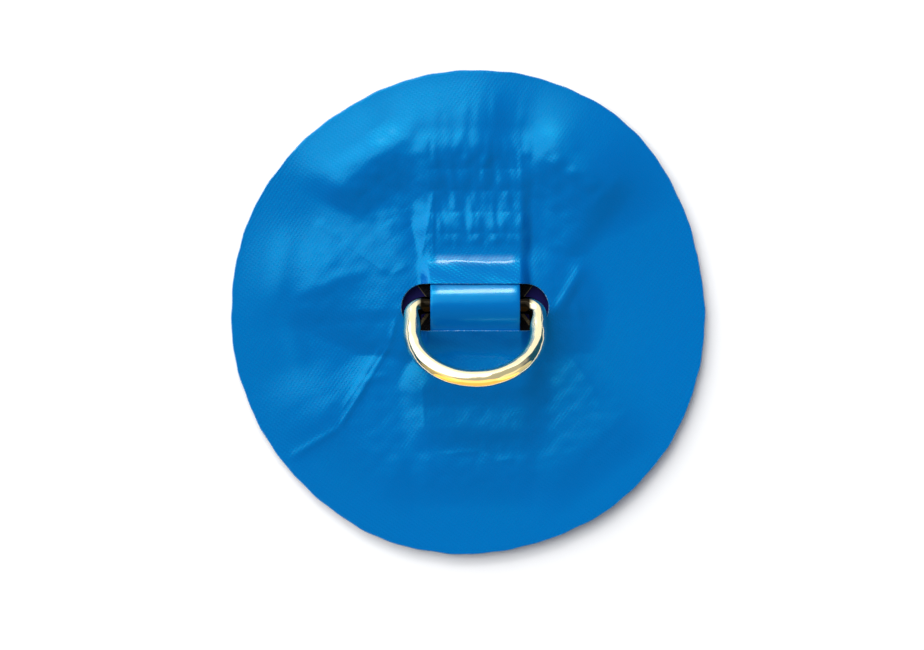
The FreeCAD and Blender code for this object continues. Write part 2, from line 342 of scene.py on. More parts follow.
# x0, y0, x1, y1, width, height
CREASES = (
    (-36.5, -4.4, -39.8, -17.6, 1.1, 0.45), (-39.8, -17.6, -63.2, -55.9, 1.0, 0.5),
    (-42.6, -17.0, -62.0, -48.0, 1.1, 0.3), (-63.2, -55.9, -86.0, -70.0, 1.3, 0.4),
    (-40.0, 15.0, -74.4, 40.5, 2.4, 0.4), (-39.3, 15.2, -31.0, 19.5, 1.8, 0.25),
    (-19.6, 53.0, -25.3, 22.2, 0.8, 0.38), (-19.4, 57.0, -19.6, 24.0, 0.6, 0.22),
    (-24.6, -34.0, -23.6, -57.0, 0.9, 0.22), (38.0, -14.0, 57.0, -41.0, 2.0, 0.3),
    (-17.7, -68.5, 2.0, -67.0, 1.2, 0.2), (2.0, -67.0, 9.0, -71.5, 1.2, 0.25),
    (9.0, -71.5, 19.0, -70.5, 1.2, 0.15), (50.0, 20.0, 37.0, -2.0, 2.2, 0.25),
)


# ------------------------------------------------------------------ meshes


def skin(name, grid, joined, materials, bands=None):
    """Closed surface over a grid of points in millimetres, rows by columns.
    The columns always join up. The rows join up too, or each end closes to a
    point in the middle of its row. bands gives each row's material."""
    rows, cols = grid.shape[:2]
    r = np.arange(rows if joined else rows - 1)[:, None]
    c = np.arange(cols)[None, :]
    r_next, c_next = (r + 1) % rows, (c + 1) % cols
    quads = np.stack(
        np.broadcast_arrays(r * cols + c, r * cols + c_next, r_next * cols + c_next,
                            r_next * cols + c), -1).reshape(-1, 4)
    points = grid.reshape(-1, 3)
    faces = quads
    slots = np.zeros(len(quads), int) if bands is None else np.repeat(bands[:len(r)], cols)
    a, b, d = points[quads[:, 0]], points[quads[:, 1]], points[quads[:, 2]]
    e = points[quads[:, 3]]
    volume = np.einsum("ij,ij->i", a, np.cross(b, d)) + np.einsum("ij,ij->i", a, np.cross(d, e))
    turned = volume.sum() < 0.0
    if turned:
        faces = faces[:, ::-1]
    polygons = faces.tolist()
    if not joined:
        first, last = len(points), len(points) + 1
        points = np.vstack([points, grid[0].mean(0), grid[-1].mean(0)])
        ring = np.arange(cols)
        onward = (ring + 1) % cols
        top = (rows - 1) * cols
        low = np.stack([onward, ring, np.full(cols, first)], -1)
        high = np.stack([top + ring, top + onward, np.full(cols, last)], -1)
        caps = np.vstack([low, high])
        polygons += (caps[:, ::-1] if turned else caps).tolist()
        slots = np.concatenate([slots, np.full(cols, slots[0]), np.full(cols, slots[-1])])
    mesh = bpy.data.meshes.new(name)
    mesh.from_pydata((points * MM).tolist(), [], polygons)
    for material in materials:
        mesh.materials.append(material)
    mesh.polygons.foreach_set("material_index", slots.astype(np.int32))
    mesh.polygons.foreach_set("use_smooth", np.ones(len(polygons), bool))
    mesh.set_sharp_from_angle(angle=math.radians(55.0))
    mesh.update()
    piece = bpy.data.objects.new(name, mesh)
    bpy.context.scene.collection.objects.link(piece)
    return piece


def ribbon_grid(start, end, count, half_width, thick, under, place, columns=28):
    """A flat strap with rounded edges carried along s: each row is a rounded
    rectangle, half width * cos and half thickness * sin with their powers below 1,
    standing square to the line that under(s) gives. place turns (s, across, z)
    into x, y, z."""
    s = np.linspace(start, end, count)[:, None]
    q = np.linspace(0.0, 2.0 * math.pi, columns, endpoint=False)[None, :]
    c, w = np.cos(q), np.sin(q)
    across = half_width * np.sign(c) * np.abs(c) ** 0.12
    up = thick / 2.0 * np.sign(w) * np.abs(w) ** 0.45
    z = under(s)
    slope = np.gradient(z[:, 0], s[:, 0])[:, None]
    norm = np.sqrt(1.0 + slope ** 2)
    middle_s = s - slope / norm * thick / 2.0
    middle_z = z + thick / 2.0 / norm
    rows_s = middle_s - slope / norm * up
    rows_z = middle_z + up / norm
    x, y = place(rows_s, across + 0.0 * s)
    return np.stack([x, y, rows_z + lift(x, y)], -1)


def place_main(s, t):
    """The main strap runs along Y through the bar."""
    return t, s + BAR_Y


def place_arm(side):
    """A diagonal strap runs at its angle from Y through the bar's middle."""
    c, w = math.cos(ARM_ANGLE), math.sin(ARM_ANGLE)

    def place(s, t):
        return -side * s * w + t * c, s * c + side * t * w + BAR_Y

    return place


# ------------------------------------------------------------------ materials


def add_node(tree, kind, values=None, links=None, **settings_):
    """Add a node, set its own settings and socket values, and link its inputs."""
    node = tree.nodes.new(kind)
    for key, value in settings_.items():
        setattr(node, key, value)
    for key, value in (values or {}).items():
        node.inputs[key].default_value = value
    for key, source in (links or {}).items():
        tree.links.new(source, node.inputs[key])
    return node


def new_material(name):
    """An empty node material and its tree."""
    material = bpy.data.materials.get(name)
    if material is None:
        material = bpy.data.materials.new(name)
    material.use_nodes = True
    material.node_tree.nodes.clear()
    return material, material.node_tree


def coated_fabric(name, colour, deeper, roughness, weave_depth, coat, taut_at=None):
    """Calendered PVC on a plain-woven polyester scrim. The smooth coating gives a
    broad blue sheen, the scrim's threads print through as a fine square weave, and
    handling leaves faint cloudy changes of gloss. Where the sheet is pulled taut
    over an edge, taut_at along Y, its skin is stretched clear and mirror-smooth."""
    material, tree = new_material(name)
    place = add_node(tree, "ShaderNodeTexCoord")
    turned = add_node(tree, "ShaderNodeMapping", {"Rotation": (0.0, 0.0, math.radians(34.0))},
                      {"Vector": place.outputs["Object"]})
    # One thread every weave_pitch: a wave texture's own length is 2 pi / 20 of its scale.
    # Real scrim threads lie about 1.1 mm apart, and 1.5 mm is as fine as shows.
    pitch = settings().weave_pitch
    thread_scale = math.pi / 10.0 / pitch
    warp = add_node(tree, "ShaderNodeTexWave", {"Scale": thread_scale, "Distortion": 0.0},
                    {"Vector": turned.outputs[0]}, wave_type="BANDS", bands_direction="X",
                    wave_profile="SIN")
    weft = add_node(tree, "ShaderNodeTexWave", {"Scale": thread_scale, "Distortion": 0.0},
                    {"Vector": turned.outputs[0]}, wave_type="BANDS", bands_direction="Y",
                    wave_profile="SIN")
    weave = add_node(tree, "ShaderNodeMath", links={0: warp.outputs["Fac"], 1: weft.outputs["Fac"]},
                     operation="MULTIPLY")
    # Cloudy handling marks, 25 mm across, and orange peel of the coating, 3 mm.
    cloud = add_node(tree, "ShaderNodeTexNoise", {"Scale": 40.0, "Detail": 3.0, "Roughness": 0.55},
                     {"Vector": place.outputs["Object"]})
    peel = add_node(tree, "ShaderNodeTexNoise", {"Scale": 330.0, "Detail": 2.0, "Roughness": 0.5},
                    {"Vector": place.outputs["Object"]})
    tone = add_node(tree, "ShaderNodeMix", {"A": colour, "B": deeper},
                    {"Factor": cloud.outputs["Fac"]}, data_type="RGBA")
    gloss = add_node(tree, "ShaderNodeMapRange",
                     {"From Min": 0.3, "From Max": 0.7, "To Min": roughness - 0.04,
                      "To Max": roughness + 0.05}, {"Value": cloud.outputs["Fac"]})
    peel_bump = add_node(tree, "ShaderNodeBump", {"Strength": 1.0, "Distance": 0.00006},
                         {"Height": peel.outputs["Fac"]})
    weave_bump = add_node(tree, "ShaderNodeBump", {"Strength": 1.0, "Distance": weave_depth},
                          {"Height": weave.outputs[0], "Normal": peel_bump.outputs[0]})
    shader = add_node(tree, "ShaderNodeBsdfPrincipled",
                      {"IOR": 1.53, "Specular IOR Level": 0.75,
                       "Specular Tint": (0.0, 0.8, 1.0, 1.0),
                       "Coat Weight": coat, "Coat Roughness": 0.09, "Coat IOR": 1.5},
                      {"Base Color": tone.outputs[2], "Roughness": gloss.outputs[0],
                       "Normal": weave_bump.outputs[0]})
    if taut_at is not None:
        part = add_node(tree, "ShaderNodeSeparateXYZ", links={0: place.outputs["Object"]})
        along = add_node(tree, "ShaderNodeMath", {1: taut_at * MM}, {0: part.outputs["Y"]},
                         operation="SUBTRACT")
        away = add_node(tree, "ShaderNodeMath", links={0: along.outputs[0]}, operation="ABSOLUTE")
        across = add_node(tree, "ShaderNodeMath", links={0: part.outputs["X"]},
                          operation="ABSOLUTE")
        near = add_node(tree, "ShaderNodeMapRange", {"From Min": 0.0034, "From Max": 0.0006},
                        {"Value": away.outputs[0]}, interpolation_type="SMOOTHSTEP")
        level = add_node(tree, "ShaderNodeMapRange",
                         {"From Min": (STRAP_HALF - 1.5) * MM, "From Max": (STRAP_HALF - 4.5) * MM},
                         {"Value": across.outputs[0]}, interpolation_type="SMOOTHSTEP")
        band = add_node(tree, "ShaderNodeMath", links={0: near.outputs[0], 1: level.outputs[0]},
                        operation="MULTIPLY")
        skin_gloss = add_node(tree, "ShaderNodeMapRange", {"To Min": coat, "To Max": 1.0},
                              {"Value": band.outputs[0]})
        tree.links.new(skin_gloss.outputs[0], shader.inputs["Coat Weight"])
    add_node(tree, "ShaderNodeOutputMaterial", links={"Surface": shader.outputs[0]})
    return material


def cut_edge(name, colour, thread_ends_and_glints):
    """Shear-cut edge of the coated sheet: the given tone with the scrim's cut thread
    ends showing as small specks half a millimetre apart. On the cover the pale tone and whitish specks
    are partly painted highlight, the glint of the lit edge; on the base the dark tone is partly painted
    shade along the rim's foot."""
    material, tree = new_material(name)
    place = add_node(tree, "ShaderNodeTexCoord")
    specks = add_node(tree, "ShaderNodeTexNoise", {"Scale": 1900.0, "Detail": 1.0},
                      {"Vector": place.outputs["Object"]})
    ramp = add_node(tree, "ShaderNodeMapRange", {"From Min": 0.52, "From Max": 0.68},
                    {"Value": specks.outputs["Fac"]})
    # The speck colour paints the thread ends, and on the cover also painted glints.
    tone = add_node(tree, "ShaderNodeMix", {"A": colour, "B": thread_ends_and_glints},
                    {"Factor": ramp.outputs[0]}, data_type="RGBA")
    bump = add_node(tree, "ShaderNodeBump", {"Strength": 1.0, "Distance": 0.0001},
                    {"Height": specks.outputs["Fac"]})
    shader = add_node(tree, "ShaderNodeBsdfPrincipled", {"Roughness": 0.55},
                      {"Base Color": tone.outputs[2], "Normal": bump.outputs[0]})
    add_node(tree, "ShaderNodeOutputMaterial", links={"Surface": shader.outputs[0]})
    return material


def glued_face(name, colour, deeper):
    """Bonding face of the base sheet, painted dark navy for the deep shade it lies in under the cover
    and in the slot: dull, with the scrim's threads filled and faint brush strokes left in its film."""
    material, tree = new_material(name)
    place = add_node(tree, "ShaderNodeTexCoord")
    strokes = add_node(tree, "ShaderNodeTexNoise", {"Scale": 260.0, "Detail": 3.0, "Distortion": 1.2},
                       {"Vector": place.outputs["Object"]})
    tone = add_node(tree, "ShaderNodeMix", {"A": colour, "B": deeper},
                    {"Factor": strokes.outputs["Fac"]}, data_type="RGBA")
    bump = add_node(tree, "ShaderNodeBump", {"Strength": 1.0, "Distance": 0.00012},
                    {"Height": strokes.outputs["Fac"]})
    shader = add_node(tree, "ShaderNodeBsdfPrincipled",
                      {"Roughness": 0.62, "Specular IOR Level": 0.1},
                      {"Base Color": tone.outputs[2], "Normal": bump.outputs[0]})
    add_node(tree, "ShaderNodeOutputMaterial", links={"Surface": shader.outputs[0]})
    return material


def webbing(name, colour, lighter, edge_highlight_tone, turn):
    """Woven polyester webbing: rows of rib-like picks across the strap, dull, with
    lighter thread crowns and a tan line along each edge, a painted highlight where the raised edge
    catches the light."""
    material, tree = new_material(name)
    place = add_node(tree, "ShaderNodeTexCoord")
    turned = add_node(tree, "ShaderNodeMapping",
                      {"Location": (0.0, -BAR_Y * MM, 0.0), "Rotation": (0.0, 0.0, turn)},
                      {"Vector": place.outputs["Object"]})
    scale = math.pi / 10.0 / settings().rib_pitch
    ribs = add_node(tree, "ShaderNodeTexWave", {"Scale": scale, "Distortion": 0.6,
                                                 "Detail": 1.0, "Detail Scale": 3.0},
                    {"Vector": turned.outputs[0]}, wave_type="BANDS", bands_direction="Y")
    ends = add_node(tree, "ShaderNodeTexWave", {"Scale": scale * 1.7, "Distortion": 0.3},
                    {"Vector": turned.outputs[0]}, wave_type="BANDS", bands_direction="X")
    weave = add_node(tree, "ShaderNodeMath", links={0: ribs.outputs["Fac"], 1: ends.outputs["Fac"]},
                     operation="MULTIPLY")
    tone = add_node(tree, "ShaderNodeMix", {"A": colour, "B": lighter},
                    {"Factor": weave.outputs[0]}, data_type="RGBA")
    # Painted highlight: the tan line lies in the last 0.9 mm of each edge.
    place_x = add_node(tree, "ShaderNodeSeparateXYZ", links={0: turned.outputs[0]})
    across = add_node(tree, "ShaderNodeMath", links={0: place_x.outputs["X"]},
                      operation="ABSOLUTE")
    edge_highlight_mask = add_node(tree, "ShaderNodeMapRange",
                    {"From Min": (WEBBING_HALF - 1.1) * MM, "From Max": (WEBBING_HALF - 0.7) * MM},
                    {"Value": across.outputs[0]})
    tone = add_node(tree, "ShaderNodeMix", {"B": edge_highlight_tone},
                    {"Factor": edge_highlight_mask.outputs[0], "A": tone.outputs[2]}, data_type="RGBA")
    bump = add_node(tree, "ShaderNodeBump", {"Strength": 1.0, "Distance": 0.00025},
                    {"Height": weave.outputs[0]})
    shader = add_node(tree, "ShaderNodeBsdfPrincipled",
                      {"Roughness": 0.8, "Specular IOR Level": 0.15},
                      {"Base Color": tone.outputs[2], "Normal": bump.outputs[0]})
    add_node(tree, "ShaderNodeOutputMaterial", links={"Surface": shader.outputs[0]})
    return material


def sewing_thread(name, colour, lighter):
    """Bonded polyester thread: fine twisted plies, slightly shiny."""
    material, tree = new_material(name)
    place = add_node(tree, "ShaderNodeTexCoord")
    plies = add_node(tree, "ShaderNodeTexNoise", {"Scale": 2500.0, "Detail": 1.0},
                     {"Vector": place.outputs["Object"]})
    tone = add_node(tree, "ShaderNodeMix", {"A": colour, "B": lighter},
                    {"Factor": plies.outputs["Fac"]}, data_type="RGBA")
    shader = add_node(tree, "ShaderNodeBsdfPrincipled", {"Roughness": 0.45},
                      {"Base Color": tone.outputs[2]})
    add_node(tree, "ShaderNodeOutputMaterial", links={"Surface": shader.outputs[0]})
    return material


def polished_wire(name, colour):
    """Stainless bar, bent and tumble-polished: mirror bright, with a faint long
    waviness from the bending and hairline scuffs that scatter a little light. The bar inside the loop
    carries painted shade."""
    material, tree = new_material(name)
    place = add_node(tree, "ShaderNodeTexCoord")
    swell = add_node(tree, "ShaderNodeTexNoise", {"Scale": 95.0, "Detail": 1.0, "Roughness": 0.4},
                     {"Vector": place.outputs["Object"]})
    scuffs = add_node(tree, "ShaderNodeTexNoise", {"Scale": 900.0, "Detail": 4.0, "Roughness": 0.7},
                      {"Vector": place.outputs["Object"]})
    rough = add_node(tree, "ShaderNodeMapRange",
                     {"From Min": 0.35, "From Max": 0.75, "To Min": 0.07, "To Max": 0.17},
                     {"Value": scuffs.outputs["Fac"]})
    bump = add_node(tree, "ShaderNodeBump", {"Strength": 1.0, "Distance": 0.0008},
                    {"Height": swell.outputs["Fac"]})
    # Painted shade: the bar inside the loop is painted near black for the shade it sits in beside the
    # strap and the dark slot it mirrors, all of it up to 4 mm short of each leg's centre line, and it
    # fades out 5.5 to 9 mm below the bar.
    part = add_node(tree, "ShaderNodeSeparateXYZ", links={0: place.outputs["Object"]})
    width = add_node(tree, "ShaderNodeMath", links={0: part.outputs["X"]}, operation="ABSOLUTE")
    inside = add_node(tree, "ShaderNodeMapRange", {"From Min": 0.0272, "From Max": 0.0250},
                      {"Value": width.outputs[0]})
    away = add_node(tree, "ShaderNodeMapRange",
                    {"From Min": (BAR_Y - 9.0) * MM, "From Max": (BAR_Y - 5.5) * MM},
                    {"Value": part.outputs["Y"]})
    # painted shade mask: 1 on the bar inside the loop, 0 on the legs and bow
    scale = add_node(tree, "ShaderNodeMath", links={0: inside.outputs[0], 1: away.outputs[0]},
                     operation="MULTIPLY")
    tone = add_node(tree, "ShaderNodeMix", {"A": colour, "B": srgb("17140F")},
                    {"Factor": scale.outputs[0]}, data_type="RGBA")
    shader = add_node(tree, "ShaderNodeBsdfPrincipled", {"Metallic": 1.0},
                      {"Base Color": tone.outputs[2], "Roughness": rough.outputs[0],
                       "Normal": bump.outputs[0]})
    add_node(tree, "ShaderNodeOutputMaterial", links={"Surface": shader.outputs[0]})
    return material


def studio_paper(name, colour):
    """Matte seamless backdrop paper with a barely visible tooth."""
    material, tree = new_material(name)
    place = add_node(tree, "ShaderNodeTexCoord")
    tooth = add_node(tree, "ShaderNodeTexNoise", {"Scale": 700.0, "Detail": 2.0},
                     {"Vector": place.outputs["Object"]})
    bump = add_node(tree, "ShaderNodeBump", {"Strength": 0.3, "Distance": 0.00005},
                    {"Height": tooth.outputs["Fac"]})
    shader = add_node(tree, "ShaderNodeBsdfPrincipled",
                      {"Base Color": colour, "Roughness": 0.95, "Specular IOR Level": 0.0},
                      {"Normal": bump.outputs[0]})
    add_node(tree, "ShaderNodeOutputMaterial", links={"Surface": shader.outputs[0]})
    return material


# ------------------------------------------------------------------ settings


class PadEyeSettings(bpy.types.PropertyGroup):
    """Sizes and colours that a user would change."""
    outline_radius: FloatProperty(
        name="Outline radius", description="Mean radius of the two hand-cut round sheets",
        default=0.1115, min=0.09, max=0.13, unit="LENGTH", subtype="DISTANCE")
    slot_length: FloatProperty(
        name="Slot length", description="Length of the obround slot in the cover",
        default=0.069, min=0.05, max=0.1, unit="LENGTH", subtype="DISTANCE")
    slot_width: FloatProperty(
        name="Slot width", description="Width of the obround slot in the cover",
        default=0.022, min=0.012, max=0.04, unit="LENGTH", subtype="DISTANCE")
    weave_pitch: FloatProperty(
        name="Scrim pitch", description="Spacing of the threads that print through the coating",
        default=0.0015, min=0.0004, max=0.003, unit="LENGTH", subtype="DISTANCE")
    rib_pitch: FloatProperty(
        name="Webbing rib pitch", description="Spacing of the picks across the webbing",
        default=0.0018, min=0.0008, max=0.004, unit="LENGTH", subtype="DISTANCE")
    stitch_pitch: FloatProperty(
        name="Stitch pitch", description="Distance from one stitch to the next in a row",
        default=0.0038, min=0.002, max=0.008, unit="LENGTH", subtype="DISTANCE")
    ring_width: FloatProperty(
        name="Ring inner width", description="Clear width inside the ring",
        default=0.050, min=0.03, max=0.08, unit="LENGTH", subtype="DISTANCE")
    ring_reach: FloatProperty(
        name="Ring reach", description="Distance from the bar's centre line to the bow's",
        default=0.045, min=0.03, max=0.08, unit="LENGTH", subtype="DISTANCE")
    wire_diameter: FloatProperty(
        name="Wire diameter", description="Diameter of the ring's wire",
        default=0.008, min=0.004, max=0.014, unit="LENGTH", subtype="DISTANCE")
    ring_lean: FloatProperty(
        name="Ring lean", description="Angle of the ring over the patch at rest",
        default=math.radians(42.0), min=0.0, max=3.0, unit="ROTATION", subtype="ANGLE")
    cover_colour: FloatVectorProperty(
        name="Cover colour", description="Colour of the coated sheets",
        default=srgb("005FB0"), size=4, min=0.0, max=1.0, subtype="COLOR")
    webbing_colour: FloatVectorProperty(
        name="Webbing colour", description="Colour of the woven straps under the cover",
        default=srgb("06060B"), size=4, min=0.0, max=1.0, subtype="COLOR")
    steel_colour: FloatVectorProperty(
        name="Steel colour", description="Reflection colour of the ring",
        default=srgb("F3E8C4"), size=4, min=0.0, max=1.0, subtype="COLOR")


def settings():
    """The scene's pad eye settings."""
    return bpy.context.scene.pad_eye


def darker(colour, share):
    """A colour with each channel cut to a share of it."""
    return (colour[0] * share, colour[1] * share, colour[2] * share, 1.0)


# ------------------------------------------------------------------ pieces


class PADEYE_OT_cover(bpy.types.Operator):
    """Drape the slotted cover sheet over the star of straps"""
    bl_idname = "pad_eye.cover"
    bl_label = "Cover sheet"

    def execute(self, context):
        # Rows go out over the top from the slot to the rim, down the cut edge, back
        # along the underside, and up the slot's edge to close.
        angle = np.linspace(0.0, 2.0 * math.pi, AROUND, endpoint=False)
        inner, outer = slot_edge(angle), outline(angle)
        out, back = 140, 20
        top = np.linspace(0.0, 1.0, out)[:, None]
        low = np.linspace(1.0, 0.0, back)[:, None]
        share = np.vstack([top, [[1.0]], [[1.0]], low, [[0.0]], [[0.0]]])
        depth = np.concatenate([np.zeros(out), [0.35, 0.7], np.ones(back), [0.7, 0.35]])[:, None]
        proud = np.concatenate([np.zeros(out), [0.2, 0.35], np.linspace(0.4, -0.35, back),
                                [-0.3, -0.15]])[:, None]
        radius = inner + (outer - inner) * share + proud
        x, y = radius * np.cos(angle), radius * np.sin(angle)
        z = lift(x, y) + SHEET + drape(x, y) + SHEET * (1.0 - depth)
        bands = np.concatenate([np.zeros(out - 1), np.ones(3), np.zeros(back - 1), np.ones(3)])
        s = settings()
        cloth = coated_fabric("calendered_pvc_cover", s.cover_colour, darker(s.cover_colour, 0.9),
                              0.22, 0.000045, 0.07, 21.9)
        # Partly painted highlight: the pale tone and whitish specks paint the glint of the lit cut edge
        # besides the scrim's thread ends.
        edge = cut_edge("shear_cut_pvc_edge_painted_glints", srgb("0A7FC4"), srgb("9FC4D8"))
        piece = skin("cover_sheet", np.stack([x, y, z], -1), True, [cloth, edge], bands)
        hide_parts("cover_patch")
        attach(piece, "patch")
        return {"FINISHED"}


class PADEYE_OT_base(bpy.types.Operator):
    """Lay the base sheet that is glued to the boat"""
    bl_idname = "pad_eye.base"
    bl_label = "Base sheet"

    def execute(self, context):
        # Rows go out over the top from the middle to the rim, down the cut edge and
        # back along the underside to the middle.
        angle = np.linspace(0.0, 2.0 * math.pi, AROUND, endpoint=False)
        outer = outline(angle) + 0.25 * np.cos(5.0 * angle + 0.8) + 0.1
        out = 40
        top = np.linspace(0.01, 1.0, out)[:, None]
        share = np.vstack([top, [[1.0]], [[1.0]], top[::-1]])
        depth = np.concatenate([np.zeros(out), [0.35, 0.7], np.ones(out)])[:, None]
        proud = np.concatenate([np.zeros(out), [0.1, 0.1], np.zeros(out)])[:, None]
        radius = outer * share + proud
        x, y = radius * np.cos(angle), radius * np.sin(angle)
        z = lift(x, y) + SHEET * (1.0 - depth)
        bands = np.concatenate([np.zeros(out - 1), np.ones(3), np.full(out - 1, 2)])
        s = settings()
        # Painted shade: the top face's dark navy stands in for the shade under the cover and in the
        # slot.
        cloth = glued_face("bonding_face_painted_shade", srgb("191566"), srgb("110F45"))
        # Partly painted shade: the dark grey paints the shade line along the rim's foot, with the
        # scrim's tan thread ends as specks.
        edge = cut_edge("shear_cut_base_edge_painted_shade", srgb("2C3A4A"), srgb("8A7A5C"))
        under = coated_fabric("buffed_pvc_underside", darker(s.cover_colour, 0.8),
                              darker(s.cover_colour, 0.62), 0.6, 0.00006, 0.0)
        piece = skin("base_sheet", np.stack([x, y, z], -1), False, [cloth, edge, under], bands)
        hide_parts("base_patch")
        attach(piece, "patch")
        return {"FINISHED"}


class PADEYE_OT_straps(bpy.types.Operator):
    """Make the coated main strap and the two woven diagonals"""
    bl_idname = "pad_eye.straps"
    bl_label = "Straps"

    def execute(self, context):
        s = settings()
        coated = coated_fabric("calendered_pvc_strap", s.cover_colour,
                               darker(s.cover_colour, 0.93), 0.2, 0.000004, 0.09, 8.2)
        black = s.webbing_colour
        grid = ribbon_grid(STRAP_LOW[1] - BAR_Y, STRAP_HIGH[1] - BAR_Y, 300, STRAP_HALF,
                           STRAP_THICK, strap_under, place_main, 40)
        grid[..., 2] += 0.09 * waves(grid[..., 0], grid[..., 1], 9.0, 22.0, 7, 41)
        strap = skin("coated_strap", grid, False, [coated])
        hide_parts("main_strap")
        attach(strap, "patch")
        names = (("webbing_lower", "diagonal_strap_a"), ("webbing_upper", "diagonal_strap_b"))
        for (name, node), (side, crossing) in zip(names, ARMS):
            # The tan 6E6750 is the painted highlight along each webbing edge.
            woven = webbing("woven_polyester_" + name, black, srgb("15151C"), srgb("6E6750"),
                            -side * ARM_ANGLE)
            grid = ribbon_grid(-ARM_LENGTH, ARM_LENGTH, 240, WEBBING_HALF, WEBBING_THICK,
                               lambda v, c=crossing: webbing_under(v, c), place_arm(side))
            piece = skin(name, grid, False, [woven])
            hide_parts(node)
            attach(piece, "patch")
        return {"FINISHED"}


class PADEYE_OT_stitching(bpy.types.Operator):
    """Sew the cross rows that hold each strap's ends"""
    bl_idname = "pad_eye.stitching"
    bl_label = "Stitching"

    def execute(self, context):
        thread = sewing_thread("bonded_polyester_thread", settings().webbing_colour,
                               srgb("30303C"))
        groups = (
            ("stitches_main_upper", "stitching_main_upper", place_main, strap_under,
             STRAP_THICK, 17.75, MAIN_ROWS, 1.0),
            ("stitches_main_lower", "stitching_main_lower", place_main, strap_under,
             STRAP_THICK, 17.75, MAIN_ROWS, -1.0),
            ("stitches_a_upper", "stitching_diagonal_a_upper", place_arm(1.0),
             lambda v: webbing_under(v, False), WEBBING_THICK, 13.0, ARM_ROWS, 1.0),
            ("stitches_a_lower", "stitching_diagonal_a_lower", place_arm(1.0),
             lambda v: webbing_under(v, False), WEBBING_THICK, 13.0, ARM_ROWS, -1.0),
            ("stitches_b_upper", "stitching_diagonal_b_upper", place_arm(-1.0),
             lambda v: webbing_under(v, True), WEBBING_THICK, 13.0, ARM_ROWS, 1.0),
            ("stitches_b_lower", "stitching_diagonal_b_lower", place_arm(-1.0),
             lambda v: webbing_under(v, True), WEBBING_THICK, 13.0, ARM_ROWS, -1.0),
        )
        for name, node, place, under, thick, half, rows, sign in groups:
            piece = sew(name, place, under, thick, half, np.array(rows) * sign, thread)
            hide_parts(node)
            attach(piece, "patch")
        return {"FINISHED"}


def sew(name, place, under, thick, half, rows, thread):
    """One group of stitch rows, one thread for each row, carried across the strap.
    The thread stands 0.1 mm proud in the middle of a stitch and drops 0.16 mm to its
    ends, as the square root of |sin| of the place along it. Its section is a circle."""
    pitch = settings().stitch_pitch / MM
    across = np.linspace(-half, half, 96)[:, None]
    q = np.linspace(0.0, 2.0 * math.pi, 8, endpoint=False)[None, :]
    parts = []
    for row in rows:
        s = row + THREAD_RADIUS * np.cos(q) + 0.0 * across
        x, y = place(s, across + 0.0 * q)
        dip = 0.16 * np.abs(np.sin(math.pi * across / pitch)) ** 0.5 - 0.16
        z = under(np.array([[abs(row)]])) + thick + dip + THREAD_RADIUS * np.sin(q) - 0.12
        parts.append(np.stack([x, y, z + lift(x, y)], -1))
    made = [skin(f"{name}_{i}", part, False, [thread]) for i, part in enumerate(parts)]
    with bpy.context.temp_override(active_object=made[0], selected_editable_objects=made):
        bpy.ops.object.join()
    made[0].name = name
    made[0].data.name = name
    return made[0]


class PADEYE_OT_ring(bpy.types.Operator):
    """Bend the D-ring's wire and lean it on its bar"""
    bl_idname = "pad_eye.ring"
    bl_label = "D-ring"

    def execute(self, context):
        s = settings()
        radius = s.wire_diameter / MM / 2.0
        half = s.ring_width / MM / 2.0 + radius
        reach = s.ring_reach / MM
        line = ring_line(half, reach, 6.0, 640)
        step = np.roll(line, -1, 0) - np.roll(line, 1, 0)
        step /= np.linalg.norm(step, axis=1)[:, None]
        side = np.stack([step[:, 1], -step[:, 0]], -1)[:, None, :]
        q = np.linspace(0.0, 2.0 * math.pi, 48, endpoint=False)[None, :, None]
        # Section: centre line + radius * (cos * in-plane normal + sin * plane normal).
        flat = line[:, None, :] + radius * np.cos(q) * side
        off = np.broadcast_to(radius * np.sin(q[..., 0]), flat.shape[:2])
        lean = s.ring_lean
        x = flat[..., 0]
        y = BAR_Y - flat[..., 1] * math.cos(lean) + off * math.sin(lean)
        z = BAR_Z + flat[..., 1] * math.sin(lean) + off * math.cos(lean)
        steel = polished_wire("polished_stainless_wire_painted_bar_shade", s.steel_colour)
        piece = skin("ring", np.stack([x, y, z], -1), True, [steel])
        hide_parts("d_ring")
        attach(piece, "ring")
        return {"FINISHED"}


def ring_line(half, reach, corner, count):
    """Centre line of the D in its own plane: straight bar on v = 0, quarter circles
    of radius corner, straight legs, and a half circle of radius half as the bow.
    Places along it are even in arc length."""
    leg = reach - half
    turn = np.linspace(0.0, 0.5 * math.pi, 60)
    bow = np.linspace(0.0, math.pi, 240)
    right = np.stack([half - corner + corner * np.sin(turn), corner - corner * np.cos(turn)], -1)
    over = np.stack([half * np.cos(bow), leg + half * np.sin(bow)], -1)
    left = right[::-1] * [-1.0, 1.0]
    points = np.vstack([[[0.0, 0.0]], right, over, left, [[0.0, 0.0]]])
    gone = np.concatenate([[0.0], np.cumsum(np.hypot(*np.diff(points, axis=0).T))])
    places = np.linspace(0.0, gone[-1], count, endpoint=False)
    return np.stack([np.interp(places, gone, points[:, i]) for i in (0, 1)], -1)


